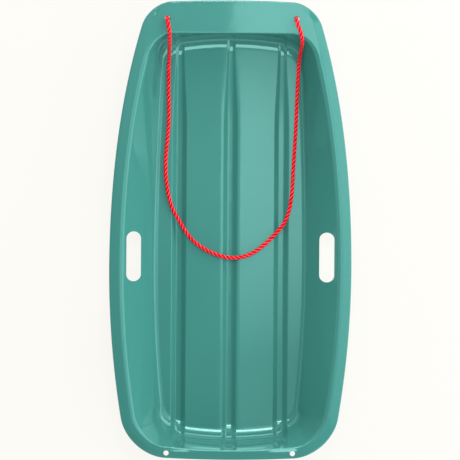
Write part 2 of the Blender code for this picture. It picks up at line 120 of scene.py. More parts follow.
def add_object(name: str, data: ID) -> Object:
    """Put an object in the scene, at the origin.

    Args:
        name: The object's name.
        data: What it holds, such as a mesh.

    Returns:
        The object.
    """
    item = bpy.data.objects.new(name, data)
    bpy.context.collection.objects.link(item)
    return item


def object_from(name: str, mesh: BMesh) -> Object:
    """Put a bmesh in the scene.

    Args:
        name: The object's name.
        mesh: The mesh, which is freed.

    Returns:
        The new object.
    """
    data = bpy.data.meshes.new(name)
    mesh.to_mesh(data)
    mesh.free()
    return add_object(name, data)


def modify(item: Object, kind: str, **settings: object) -> None:
    """Add a modifier of a kind to an object, with its settings, and apply it.

    Args:
        item: The object.
        kind: The modifier's type.
        settings: Its settings, by name.
    """
    modifier = item.modifiers.new(kind.lower(), kind)
    for key, value in settings.items():
        setattr(modifier, key, value)
    make_active(item)
    bpy.ops.object.modifier_apply(modifier=modifier.name)


def closed_tube(mesh: BMesh, rings: Sequence[Sequence[Sequence[float]]]) -> list[list[BMFace]]:
    """Model a tube through rings of points, with a face at each end.

    Args:
        mesh: The mesh to add it to.
        rings: The rings, which all have the same number of points.

    Returns:
        The faces of its side, one row for each pair of rings.
    """
    placed = [[mesh.verts.new(point) for point in ring] for ring in rings]
    rows = []
    for lower, upper in zip(placed, placed[1:]):
        quads = zip(lower, lower[1:] + lower[:1], upper[1:] + upper[:1], upper)
        rows.append([mesh.faces.new(quad) for quad in quads])
    mesh.faces.new(placed[0][::-1])
    mesh.faces.new(placed[-1])
    return rows


@dataclass(frozen=True)
class PlanLine:
    """A closed line round the tub, seen from above."""

    half_width: float
    front: float
    rear: float
    nose_draw: float
    nose_tuck: float
    tail_draw: float
    corner_front: float
    corner_rear: float
    half_length: float
    bows: Pair
    widest: float = -0.100

    def reach(self, y: float) -> float:
        """Share of the way from the widest place, 1 at the sled's front and -1 at its rear."""
        ahead = y - self.widest
        return ahead / (self.half_length - self.widest if ahead > 0 else self.half_length + self.widest)

    def side(self, y: float) -> float:
        """Half width of the line at y.

        Args:
            y: Place along the sled.

        Returns:
            The half width.
        """
        reach = self.reach(y)
        if reach > 0:
            return self.half_width - self.nose_draw * reach**2 - self.nose_tuck * reach**4
        return self.half_width - self.tail_draw * reach**2

    def end(self, x: float, end: End) -> float:
        """Y of the line's front or rear edge at x."""
        reach, bow = (self.front, self.bows[0]) if end is End.FRONT else (self.rear, self.bows[1])
        return end.value * (reach - bow * x * x)

    def corner(self, angle: float, end: End) -> Pair:
        """Point of a corner.

        Args:
            angle: 0 on the front or rear edge, and a right angle on the side.
            end: Which end the corner is at.

        Returns:
            The point's x and y.
        """
        radius = self.corner_front if end is End.FRONT else self.corner_rear
        x, y = self.half_width, self.end(self.half_width, end)
        for _ in range(CORNER_ROUNDS):
            x = self.side(y) - radius * (1 - sin(angle))
            y = self.end(x, end) - end.value * radius * (1 - cos(angle))
        return x, y

    def angle_at(self, x: float, end: End) -> float:
        """Angle of the corner at which the line reaches x.

        Args:
            x: Distance from the middle.
            end: Front or rear.

        Returns:
            The angle, 0 on the end's edge and a quarter turn on the side.
        """
        low, high = 0.0, pi / 2
        for _ in range(ANGLE_ROUNDS):
            middle = (low + high) / 2
            low, high = (middle, high) if self.corner(middle, end)[0] < x else (low, middle)
        return low

    def across(self, x: float, end: End) -> Pair:
        """Point of the line's front or rear at x, on its edge or in its corner.

        Args:
            x: Distance from the middle.
            end: Front or rear.

        Returns:
            The point's x and y.
        """
        if x <= self.corner(0.0, end)[0]:
            return x, self.end(x, end)
        return x, self.corner(self.angle_at(x, end), end)[1]


@dataclass(frozen=True)
class Column:
    """A line of points that runs along the floor from front to rear."""

    centre: float
    offset: float
    sunk: float


@dataclass(frozen=True)
class Station:
    """A place round the tub, on one of its plan lines."""

    x: float
    y: float
    sideways: float
    end: End
    sunk: float = 0.0

    def sized(self, front: float, rear: float, side: float, power: int = 1) -> float:
        """A size here, from its values at the tub's front, rear and sides."""
        return blend(front if self.end is End.FRONT else rear, side, self.sideways**power)


@dataclass(frozen=True)
class Keels:
    """The three keels, which are grooves in the floor's upper face."""

    spacing: float = 0.1375
    width: float = 0.041
    bottom: float = 0.012
    shoulder: float = 0.0025
    heel: float = 0.0035
    depth: float = 0.013
    nose_width: float = 0.024
    nose_depth: float = 0.005
    nose_fade: float = 0.220
    nose_run: float = 0.010
    nose_slope: float = 0.30
    tail_run: float = 0.008
    tail_slope: float = 0.50
    wall_share: float = 0.40
    panel_steps: int = 12
    flank_shares: tuple[float, ...] = (0, 0.06, 0.12, 0.19, 0.28, 0.5, 0.68, 0.78, 0.86, 0.93, 1.0)

    def section(self) -> list[Pair]:
        """Half of the groove's section, from its shoulder to its middle.

        Returns:
            Distances from the middle, each with its share of the full depth.
        """
        edge, foot = self.width / 2, self.bottom / 2
        slope = 1 / (edge - foot - (self.shoulder + self.heel) / 2)
        pairs = []
        for share in self.flank_shares:
            place = edge - (edge - foot) * share
            into, left = edge - place, place - foot
            if into < self.shoulder:
                sunk = slope * into**2 / (2 * self.shoulder)
            elif left < self.heel:
                sunk = 1 - slope * left**2 / (2 * self.heel)
            else:
                sunk = slope * (into - self.shoulder / 2)
            pairs.append((place, sunk))
        return pairs + [(foot * 0.5, 1.0)]

    def columns(self, centre: float) -> list[Column]:
        """Columns of one keel, from its left shoulder to its right one.

        Args:
            centre: The keel's distance from the middle.

        Returns:
            The columns.
        """
        half = self.section()
        left = [Column(centre, -place, sunk) for place, sunk in half]
        right = [Column(centre, place, sunk) for place, sunk in reversed(half)]
        return left + [Column(centre, 0.0, 1.0)] + right

    def half_floor(self) -> list[Column]:
        """Columns of the right half of the floor, from the middle to the outer keel.

        Returns:
            The columns.
        """
        middle = [column for column in self.columns(0.0) if column.offset >= 0]
        gap = self.spacing - self.width
        panel = [Column(self.width / 2 + gap * share, 0.0, 0.0) for share in steps(self.panel_steps)[:-1]]
        return middle + panel + self.columns(self.spacing)


@dataclass
class Tub:
    """The moulded tub: rim, deck, walls, floor and keels in one sheet.

    A size with three values has one for the front, one for the rear and one for the sides.
    """

    length: float = 1.220
    width: float = 0.6455
    flanges: Triple = (0.024, 0.023, 0.0245)
    flange_drops: Triple = (0.0, 0.009, 0.0045)
    flange_kept: Triple = (0.0, 0.2, 0.2)
    flange_line: float = 0.8
    wall_runs: Triple = (0.036, 0.058, 0.1045)
    crest_radii: Triple = (0.005, 0.0035, 0.016)
    fillets: Triple = (0.048, 0.039, 0.017)
    deck: float = 0.0585
    wall: float = 0.0025
    lip_roll: float = 0.0030
    lip_turn: float = pi / 2.4
    lip_bow: float = 0.0155
    rim_height: float = 0.114
    nose_rise: float = 0.036
    tail_rise: float = 0.007
    floor_sweep: float = 0.022
    sweep_length: float = 0.260
    end_rows: float = 0.087
    toe_crease: float = radians(3.0)
    slot_length: float = 0.133
    slot_width: float = 0.038
    slot_y: float = -0.070
    slot_inset: float = 0.0645
    rope_hole: Pair = (0.1715, 0.0485)
    hitch_hole: Pair = (0.168, 0.018)
    hole_width: float = 0.014
    hole_flare: float = 0.0013
    hole_sides: int = 40
    slot_sides: int = 64
    cutter_reach: float = 0.1
    crest_steps: int = 8
    wall_steps: int = 6
    fillet_steps: int = 14
    arc_steps: int = 22
    trail_steps: int = 8
    turn_step: int = 14
    side_rows: int = 110
    keels: Keels = field(default_factory=Keels)

    def __post_init__(self) -> None:
        """Work out the plan lines from the sizes."""
        half, wide = self.length / 2, self.width / 2
        front, rear, side = self.flanges
        front_run, rear_run, side_run = self.wall_runs
        bow = self.lip_bow * (2 / self.width) ** 2
        inset = side * self.flange_line
        self.lip = PlanLine(
            half_width=wide, front=half, rear=half, half_length=half, bows=(bow, bow),
            nose_draw=0.086, nose_tuck=0.0195, tail_draw=0.0544, corner_front=0.058, corner_rear=0.099,
        )
        self.flange = replace(
            self.lip, half_width=wide - inset, front=half - front, rear=half - rear * self.flange_line,
            corner_front=self.lip.corner_front - inset, corner_rear=self.lip.corner_rear - inset,
        )
        self.crest = replace(
            self.lip, half_width=wide - side, front=half - front - self.deck, rear=half - rear,
            corner_front=0.062, corner_rear=0.074, bows=(0.03, 0.30),
        )
        self.foot = PlanLine(
            half_width=self.crest.half_width - side_run, front=self.crest.front - front_run,
            rear=self.crest.rear - rear_run, half_length=half, bows=(0.6, 0.6),
            nose_draw=0.028, nose_tuck=0.0, tail_draw=0.037, corner_front=0.048, corner_rear=0.046,
        )
        self.row_front = self.foot.front - self.end_rows
        self.row_rear = self.end_rows - self.foot.rear
        self.columns = self.keels.half_floor()
        self.floor_top = self.keels.depth + self.wall

    def crest_height(self, y: float) -> float:
        """Height of the crest at y."""
        reach = self.lip.reach(y)
        return self.rim_height + (self.nose_rise if reach > 0 else self.tail_rise) * reach**2

    def swept(self, y: float) -> float:
        """0 on the floor's level part, 1 at the front end of its sweep."""
        return max(0.0, y - self.foot.front + self.sweep_length) / self.sweep_length

    def floor_height(self, y: float) -> float:
        """Height of the floor's upper face at y."""
        return self.floor_top + self.floor_sweep * self.swept(y) * self.swept(y)

    def floor_slope(self, y: float) -> float:
        """Angle at which the floor rises at y."""
        return atan(2 * self.floor_sweep * self.swept(y) / self.sweep_length)

    def deck_slope(self, y: float) -> float:
        """Angle at which the front deck rises at y."""
        ahead = self.length / 2 - self.lip.widest
        return atan(2 * self.nose_rise * (y - self.lip.widest) / ahead**2)

    def thinning(self, y: float) -> float:
        """0 where a keel has its full section, eased to 1 at the front wall."""
        share = min(max((y - self.foot.front + self.keels.nose_fade) / self.keels.nose_fade, 0.0), 1.0)
        return share * share * (3 - 2 * share)

    def keel_depth(self, x: float, y: float) -> float:
        """Depth of the keel grooves below the floor at a place, with a ramp at each end.

        Args:
            x: Distance from the middle.
            y: Place along the sled.

        Returns:
            The depth.
        """
        keels = self.keels
        ahead = y + self.foot.bows[0] * x * x - self.foot.front
        behind = -y + self.foot.bows[1] * x * x - self.foot.rear
        depth = blend(keels.depth, keels.nose_depth, self.thinning(ahead + self.foot.front))
        nose = max(ahead / keels.nose_run + 1, 0.0)
        tail = max(behind / keels.tail_run + 1, 0.0)
        ramps = keels.nose_slope * keels.nose_run * nose**2 + keels.tail_slope * keels.tail_run * tail**2
        return depth - ramps / 2

    def groove_left(self, foot: Station, climbed: float, risen: float) -> float:
        """Depth of a keel's groove on an end wall.

        Args:
            foot: The station on the floor line.
            climbed: Distance from the floor line along the wall's section.
            risen: Share of the wall's height, 0 at the floor and 1 at the crest.

        Returns:
            The depth, which fades out to the crest.
        """
        depth = self.keel_depth(foot.x, foot.y)
        slope = self.keels.nose_slope if foot.end is End.FRONT else self.keels.tail_slope
        kept = self.keels.wall_share
        fading = exp(-climbed * slope / ((1 - kept) * depth))
        return foot.sunk * depth * blend(fading, 1.0, kept) * (1 - risen**2)

    def column_x(self, column: Column, y: float) -> float:
        """Place of a column at y, which follows its keel's width."""
        narrow = self.keels.nose_width / self.keels.width
        return column.centre + column.offset * blend(1.0, narrow, self.thinning(y))

    def end_stations(self, line: PlanLine, end: End) -> list[Station]:
        """Stations from the middle of one end, round its right corner and up to the first side row.

        Args:
            line: The line to follow.
            end: Front or rear.

        Returns:
            The stations, in that order.
        """
        stations = []
        for column in self.columns:
            y = line.end(column.centre, end)
            for _ in range(COLUMN_ROUNDS):
                x, y = line.across(self.column_x(column, y), end)
            stations.append(Station(x, y, 0.0, end, column.sunk))
        start, first = (line.angle_at(x, end), 1) if x >= line.corner(0.0, end)[0] else (0.0, 0)
        count = self.arc_steps + first
        for step in range(first, count + 1):
            angle = blend(start, pi / 2, step / count)
            x, y = line.corner(angle, end)
            stations.append(Station(x, y, sin(angle) ** 2, end))
        row = self.row_front if end is End.FRONT else self.row_rear
        for share in steps(self.trail_steps):
            place = blend(y, row, share)
            stations.append(Station(line.side(place), place, 1.0, end))
        return stations

    def half_ring(self, line: PlanLine) -> list[Station]:
        """Stations of the right half of a line, from its front to its rear.

        Args:
            line: The line to follow.

        Returns:
            The stations.
        """
        rows = []
        for share in steps(self.side_rows)[:-1]:
            y = blend(self.row_front, self.row_rear, share)
            rows.append(Station(line.side(y), y, 1.0, End.FRONT if y > 0 else End.REAR))
        return self.end_stations(line, End.FRONT) + rows + self.end_stations(line, End.REAR)[::-1]

    def wall_points(self, crest: Station, foot: Station) -> Ring:
        """Points of the upper face between the crest line and the floor line.

        Args:
            crest: The station on the crest line.
            foot: The station on the floor line.

        Returns:
            The crest's arc, the straight wall and the fillet, from the top down.
        """
        outer_slope = atan2(crest.sized(*self.flange_drops), crest.sized(*self.flanges))
        slope = crest.sized(-self.deck_slope(crest.y), outer_slope, outer_slope)
        top = crest.sized(*self.crest_radii)
        low = crest.sized(*self.fillets, power=2 if crest.end is End.FRONT else 3)
        toe = foot.sized(self.floor_slope(foot.y) + self.toe_crease, 0.0, 0.0)
        start = Vector((crest.x, crest.y, self.crest_height(crest.y)))
        plan = Vector((foot.x - start.x, foot.y - start.y, 0.0))
        run, drop = plan.length, start.z - self.floor_height(foot.y)
        plan.normalize()
        centre_in, centre_down = top * sin(slope), top * cos(slope)
        fillet_in, fillet_down = run + low * sin(toe), drop - low * cos(toe)
        across, down = fillet_in - centre_in, fillet_down - centre_down
        reach = min((top + low) / hypot(across, down), 1.0)
        steep = atan2(down, across) + asin(reach)

        def arc(inwards: float, lower: float, radius: float, turns: Sequence[float]) -> list[Triple]:
            """Points on a circle, and the turn at each."""
            return [(inwards + radius * sin(turn), lower - radius * cos(turn), turn) for turn in turns]

        line = arc(centre_in, centre_down, top, [blend(-slope, steep, share) for share in steps(self.crest_steps)])
        turns = [blend(steep, toe, share) for share in [0.0] + steps(self.fillet_steps)[:-1]]
        fillet_line = arc(fillet_in, fillet_down, -low, turns)
        ends = list(zip(line[-1], fillet_line[0]))
        line += [tuple(blend(a, b, share) for a, b in ends) for share in steps(self.wall_steps)[:-1]]
        points, climbed, below = [], 0.0, (run, drop)
        for inwards, lower, turn in reversed(line + fillet_line):
            climbed += hypot(below[0] - inwards, below[1] - lower)
            below = (inwards, lower)
            groove = self.groove_left(foot, climbed, max(1 - lower / drop, 0.0))
            inner, depth = inwards - groove * sin(turn), lower + groove * cos(turn)
            points.append(start + plan * inner - UP * depth)
        return points[::-1]

    def rim_points(self, lip: Station, flange: Station, crest: Station) -> Ring:
        """Points from the rolled lip in to the crest line, at one place round the tub.

        Args:
            lip: The station on the lip.
            flange: The station on the flange line.
            crest: The station on the crest.

        Returns:
            The points, from the outside in.
        """
        drop, kept = crest.sized(*self.flange_drops), crest.sized(*self.flange_kept)
        outer = Vector((lip.x, lip.y, self.crest_height(lip.y) - drop))
        middle = Vector((flange.x, flange.y, self.crest_height(flange.y) - drop * kept))
        inner = Vector((crest.x, crest.y, self.crest_height(crest.y)))
        inwards = (middle - outer).normalized()
        points = []
        for share in (0.0, 0.15, 0.35, 0.6, 0.8, 1.0):
            angle = blend(self.lip_turn, 0.0, share)
            points.append(outer + (inwards * (1 - sin(angle)) - UP * (1 - cos(angle))) * self.lip_roll)
        points += [points[-1].lerp(middle, share) for share in (0.35, 0.7, 1.0)]
        return points + [middle.lerp(inner, share) for share in steps(4)]

    def ring_lines(self) -> list[Ring]:
        """Right halves of the rings round the floor, from the lip to the floor line.

        Returns:
            The half rings, outermost first.
        """
        lines = [self.half_ring(line) for line in (self.lip, self.flange, self.crest, self.foot)]
        spokes = []
        for lip, flange, crest, foot in zip(*lines, strict=True):
            sunk = self.keel_depth(foot.x, foot.y) * foot.sunk
            base = Vector((foot.x, foot.y, self.floor_height(foot.y) - sunk))
            spokes.append(self.rim_points(lip, flange, crest) + self.wall_points(crest, foot) + [base])
        return [list(ring) for ring in zip(*spokes, strict=True)]

    def floor_rows(self, border: Ring) -> list[Ring]:
        """Right half of the floor.

        Args:
            border: The right half of the floor line.

        Returns:
            Rows of points from the front to the rear, each from the middle outwards.
        """
        across = len(self.columns) + self.turn_step
        front, rear = border[:across], border[::-1][:across]
        grid = [front]
        for edge in border[across:-across]:
            ahead = edge.y > (self.row_front + self.row_rear) / 2
            end, row = (front, self.row_front) if ahead else (rear, self.row_rear)
            share = (edge.y - row) / (end[-1].y - row)
            line = []
            for place, start in enumerate(end[:-1]):
                y = blend(row, start.y, share) if share > 0 else edge.y
                if place < len(self.columns):
                    column = self.columns[place]
                    x, sunk = self.column_x(column, y), column.sunk
                else:
                    strip = (place - len(self.columns) + 1) / self.turn_step
                    x, sunk = blend(self.column_x(self.columns[-1], y), edge.x, strip), 0.0
                line.append(Vector((x, y, self.floor_height(y) - sunk * self.keel_depth(x, y))))
            grid.append(line + [edge])
        return grid + [rear]

    def sheet(self) -> BMesh:
        """The tub's upper face as one open mesh.

        Returns:
            The mesh, with its normals up.
        """

        def mirrored(points: Ring) -> Ring:
            """The other half of a row, in reverse."""
            return [Vector((-point.x, point.y, point.z)) for point in reversed(points)]

        rings = self.ring_lines()
        walls = [ring + mirrored(ring) + ring[:1] for ring in rings]
        floor = [mirrored(row) + row for row in self.floor_rows(rings[-1])]
        mesh = bmesh.new()
        for rows in (walls, floor):
            placed = [[mesh.verts.new(point) for point in row] for row in rows]
            for above, below in zip(placed, placed[1:]):
                for quad in zip(above, below, below[1:], above[1:]):
                    mesh.faces.new(quad)
        bmesh.ops.remove_doubles(mesh, verts=mesh.verts, dist=1e-6)
        bmesh.ops.recalc_face_normals(mesh, faces=mesh.faces)
        if sum(face.normal.z for face in mesh.faces) < 0:
            bmesh.ops.reverse_faces(mesh, faces=mesh.faces)
        return mesh

    def drill(self, mesh: BMesh, x: float, y: float, long: float, flare: float) -> None:
        """Model an upright cutter for one hole or slot.

        Args:
            mesh: The mesh to add it to.
            x: The hole's middle across the tub.
            y: The hole's middle along the tub.
            long: How much longer than wide it is.
            flare: How far its upper edge widens, 0 for a plain hole.
        """
        radius = (self.slot_width if long else self.hole_width) / 2
        sides = self.slot_sides if long else self.hole_sides
        level, lean = self.crest_height(y), tan(self.deck_slope(y))
        wide, far = radius + 3 * flare, self.cutter_reach
        edge = [(radius, -flare), (wide, 2 * flare)] if flare else []
        rings = []
        for reach, height in [(radius, -far), *edge, (wide, far)]:
            ring = []
            for side in range(sides):
                angle = tau * (side + 0.5) / sides
                across, ahead = reach * cos(angle), reach * sin(angle)
                shift = copysign(long / 2, ahead)
                ring.append((x + across, y + ahead + shift, level + height + ahead * lean))
            rings.append(ring)
        closed_tube(mesh, rings)

    def hole_cutter(self) -> Object:
        """The solid that cuts the hand slots, the rope holes and the hitch holes.

        Returns:
            The cutter's object.
        """
        half = self.length / 2
        slot_x = self.lip.side(self.slot_y) - self.slot_inset
        rope_x, rope_inset = self.rope_hole
        hitch_x, hitch_inset = self.hitch_hole
        mesh = bmesh.new()
        for x, y, long, flare in (
            (slot_x, self.slot_y, self.slot_length - self.slot_width, 0.0),
            (rope_x, half - rope_inset, 0.0, self.hole_flare),
            (hitch_x, hitch_inset - half, 0.0, 0.0),
        ):
            self.drill(mesh, -x, y, long, flare)
            self.drill(mesh, x, y, long, flare)
        bmesh.ops.recalc_face_normals(mesh, faces=mesh.faces)
        return object_from("hole_cutter", mesh)

    def build(self) -> Object:
        """The finished tub: the sheet thickened downwards, its holes cut and its faces shaded smooth.

        Returns:
            The tub's object.
        """
        tub = object_from("moulded_tub", self.sheet())
        modify(tub, "SOLIDIFY", thickness=self.wall, offset=-1.0, use_even_offset=True)
        cutter = self.hole_cutter()
        modify(tub, "BOOLEAN", operation="DIFFERENCE", solver="EXACT", object=cutter)
        bpy.data.objects.remove(cutter)
        bpy.ops.object.shade_smooth_by_angle(angle=radians(40))
        modify(tub, "WEIGHTED_NORMAL", keep_sharp=True)
        return tub


def smooth_curve(route: Sequence[Sequence[float]], spacing: float = 0.001) -> np.ndarray:
    """The smooth curve through a route.

    Args:
        route: The route's points.
        spacing: Distance between the curve's points.

    Returns:
        Points at a fine, even spacing, one row each.
    """
    knots = np.array(route, dtype=float)
    places, count = along(knots), len(knots)
    chords = np.diff(places)
    matrix, right = np.eye(count), np.zeros((count, 3))
    for row in range(1, count - 1):
        before, after = chords[row - 1 : row + 1]
        matrix[row, row - 1 : row + 2] = before, 2 * (before + after), after
    right[1:-1] = 6 * np.diff(np.diff(knots, axis=0) / chords[:, None], axis=0)
    bending = np.linalg.solve(matrix, right)
    samples = np.linspace(0.0, places[-1], int(places[-1] / spacing) + 1)
    piece = np.clip(np.searchsorted(places, samples, side="right") - 1, 0, count - 2)
    span = chords[piece][:, None]
    share = (samples[:, None] - places[piece][:, None]) / span
    rest = 1 - share
    bend = (rest**3 - rest) * bending[piece] + (share**3 - share) * bending[piece + 1]
    return rest * knots[piece] + share * knots[piece + 1] + bend * span**2 / 6


def along(points: np.ndarray) -> np.ndarray:
    """Distance of each point of a line from its start."""
    return np.concatenate([[0.0], np.cumsum(np.linalg.norm(np.diff(points, axis=0), axis=1))])


def unit(rows: np.ndarray) -> np.ndarray:
    """Vectors brought to a length of 1."""
    return rows / np.linalg.norm(rows, axis=-1, keepdims=True)


@dataclass
class Stretch:
    """Points along a rope's centreline, two directions across it, and their places along it."""

    centre: np.ndarray
    side: np.ndarray
    other: np.ndarray
    places: np.ndarray


@dataclass
class TwistedRope:
    """Three strands laid round each other along a centreline, with a right-hand lay."""

    diameter: float = 0.0108
    pitch: float = 0.0365
    ring_step: float = 0.0011
    strand_sides: int = 12
    flattening: float = 1.06
    seal: tuple[float, ...] = (0.45, 0.80, 0.95)

    def frames(self, line: np.ndarray) -> tuple[np.ndarray, np.ndarray, np.ndarray]:
        """Directions across a line that turn with it and never about it.

        Args:
            line: The centreline's points, evenly spaced, from an upright start.

        Returns:
            The points again, and two directions across the line at each of them.
        """
        tangent = unit(np.gradient(line, axis=0))
        side = np.zeros_like(tangent)
        side[0] = unit(np.cross(tangent[0], (1.0, 0.0, 0.0)))
        for row in range(1, len(line)):
            side[row] = unit(side[row - 1] - tangent[row] * (side[row - 1] @ tangent[row]))
        return line, side, np.cross(tangent, side)

    def strand(self, stretch: Stretch, index: int) -> tuple[np.ndarray, np.ndarray]:
        """Rings of points round one strand.

        Args:
            stretch: The stretch of the rope.
            index: Which of the three strands.

        Returns:
            The strand's own centreline, and rings of offsets from it, one row for each place.
        """
        radius = self.diameter / (2 * (1 + 2 / sqrt(3)))
        turn = tau * stretch.places / self.pitch + index * tau / 3
        outward = stretch.side * np.cos(turn)[:, None] + stretch.other * np.sin(turn)[:, None]
        core = stretch.centre + (self.diameter / 2 - radius) * outward
        heading = unit(np.gradient(core, axis=0))
        flat = unit(np.cross(heading, outward))
        rise = np.cross(flat, heading)
        angles = tau * np.arange(self.strand_sides) / self.strand_sides
        rings = radius * (
            np.cos(angles)[None, :, None] * rise[:, None, :]
            + self.flattening * np.sin(angles)[None, :, None] * flat[:, None, :]
        )
        return core, rings

    def mesh(self, name: str, stretch: Stretch, sealed: int) -> Object:
        """Model the strands along a stretch of the rope.

        Args:
            name: The object's name.
            stretch: The stretch of the rope.
            sealed: 0 for no sealed end, -1 if its first end is sealed, 1 if its last is.

        Returns:
            One object with the three closed strands, and fibre coordinates in a UV map.
        """
        mesh = bmesh.new()
        fibre = mesh.loops.layers.uv.new("fibre")
        for index in range(3):
            core, rings = self.strand(stretch, index)
            if sealed:
                for row, size in enumerate(self.seal):
                    rings[row if sealed < 0 else len(rings) - 1 - row] *= size
            for row, faces in enumerate(closed_tube(mesh, rings + core[:, None, :])):
                for corner, face in enumerate(faces):
                    marks = ((corner, row), (corner + 1, row), (corner + 1, row + 1), (corner, row + 1))
                    for loop, (around, step) in zip(face.loops, marks):
                        loop[fibre].uv = (around / self.strand_sides, float(stretch.places[step]))
        bmesh.ops.recalc_face_normals(mesh, faces=mesh.faces)
        item = object_from(name, mesh)
        make_active(item)
        bpy.ops.object.shade_smooth_by_angle(angle=radians(60))
        return item


@dataclass
class TowRope:
    """The tow rope in the tub, and the stopper knot in each of its ends."""

    strands: TwistedRope = field(default_factory=TwistedRope)
    diameter: float = 0.010
    end_run: float = 0.010
    end_gap: float = 0.0003
    knot_ring: float = 0.0125
    knot_lobe: float = 0.0058
    knot_lift: float = 0.0064
    knot_tail: float = 0.022
    knot_steps: int = 20
    knot_spacing: float = 0.0005
    route: tuple[Triple, ...] = (
        (-0.1714, 0.5588, 0.1478), (-0.1708, 0.553, 0.1538), (-0.169, 0.5432, 0.1562), (-0.167, 0.531, 0.1528),
        (-0.1661, 0.519, 0.1447), (-0.1667, 0.482, 0.087), (-0.1675, 0.452, 0.0465), (-0.1682, 0.415, 0.034),
        (-0.1676, 0.366, 0.0282), (-0.167, 0.301, 0.0236), (-0.1709, 0.237, 0.0215), (-0.1748, 0.172, 0.0211),
        (-0.17, 0.115, 0.0211), (-0.16, 0.071, 0.0212), (-0.1505, 0.0484, 0.0204), (-0.1373, 0.0264, 0.019),
        (-0.124, 0.004, 0.0204), (-0.112, -0.0134, 0.0211), (-0.0863, -0.0383, 0.0211), (-0.055, -0.0567, 0.0212),
        (-0.024, -0.0682, 0.0213), (0.001, -0.0725, 0.0204), (0.027, -0.0715, 0.0213), (0.0565, -0.0618, 0.0211),
        (0.112, -0.0184, 0.0211), (0.125, -0.0047, 0.0203), (0.137, 0.009, 0.019), (0.148, 0.0258, 0.0203),
        (0.158, 0.053, 0.0211), (0.1689, 0.157, 0.0211), (0.1723, 0.2206, 0.0213), (0.1757, 0.2853, 0.0226),
        (0.179, 0.39, 0.0302), (0.182, 0.456, 0.05), (0.1853, 0.49, 0.107), (0.1853, 0.508, 0.143),
        (0.181, 0.527, 0.1535), (0.1742, 0.5447, 0.1562), (0.1722, 0.553, 0.1538), (0.1716, 0.5588, 0.1478),
    )
    lead: tuple[Triple, ...] = (
        (0.0188, 0.0262, 0.0014), (0.018, 0.0192, 0.0052), (0.0122, 0.0132, 0.0066),
    )

    def run(self, start: np.ndarray, heading: np.ndarray) -> np.ndarray:
        """Points of a straight end run, from a point along a heading."""
        return start + np.linspace(0.0, self.end_run, 10)[:, None] * heading

    def centreline(self) -> np.ndarray:
        """The rope's line from one end to the other, with its straight end runs.

        Returns:
            Its points, from left to right.
        """
        middle = smooth_curve(self.route)
        left, right = unit(middle[0] - middle[1]), unit(middle[-1] - middle[-2])
        return np.vstack([self.run(middle[0], left)[:0:-1], middle, self.run(middle[-1], right)[1:]])

    def knot_line(self, end: np.ndarray, heading: np.ndarray, side: int) -> np.ndarray:
        """Line of the overhand knot that hangs from one end of the rope.

        Args:
            end: Where the rope ends.
            heading: The direction in which the rope leaves there.
            side: -1 for the left knot, 1 for the right one.

        Returns:
            The points of the knot's centreline, from the rope's end to the loose tail.
        """
        start = end + self.end_gap * heading
        turns = []
        for share in [0.0] + steps(self.knot_steps):
            angle = blend(pi / 6, pi * 11 / 6, share)
            reach = self.knot_ring + self.knot_lobe * cos(3 * angle)
            height = self.knot_lift * sin(3 * angle)
            turns.append((reach * cos(2 * angle), reach * sin(2 * angle), height))
        tail = [(across, -up, -forward) for across, up, forward in self.lead[:0:-1]]
        tail_end = (tail[-1][0], tail[-1][1] - self.knot_tail, tail[-1][2])
        local = np.array([*self.lead, *turns, *tail, tail_end]) - self.lead[0]
        placed = start + self.end_run * heading
        route = placed + np.stack([side * local[:, 0], local[:, 2], local[:, 1]], axis=1)
        return np.vstack([self.run(start, heading)[:-1], smooth_curve(route, self.knot_spacing)])

    def build(self) -> list[Object]:
        """Model the rope and its knots.

        Returns:
            The left knot, the rope and the right knot.
        """
        line = self.centreline()
        left = self.knot_line(line[0], unit(line[0] - line[1]), -1)[::-1]
        right = self.knot_line(line[-1], unit(line[-1] - line[-2]), 1)
        evened, places, reached = [], [], 0.0
        for part in (left, line, right):
            far = along(part)
            even = np.linspace(0.0, far[-1], int(far[-1] / self.strands.ring_step) + 1)
            evened.append(np.stack([np.interp(even, far, part[:, axis]) for axis in range(3)], axis=1))
            places.append(reached + even)
            reached += far[-1] + self.end_gap
        cuts = np.cumsum([len(part) for part in evened])[:-1]
        whole = (*self.strands.frames(np.vstack(evened)), np.concatenate(places))
        parts = zip(*(np.split(rows, cuts) for rows in whole))
        names = ("left_knot", "twisted_tow_rope", "right_knot")
        nodes = ("left_stopper_knot", "tow_rope", "right_stopper_knot")
        pieces = []
        for name, node, sealed, part in zip(names, nodes, (-1, 0, 1), parts):
            piece = self.strands.mesh(name, Stretch(*part), sealed)
            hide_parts(node)
            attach(piece, "root")
            piece.visible_glossy = False
            pieces.append(piece)
        return pieces


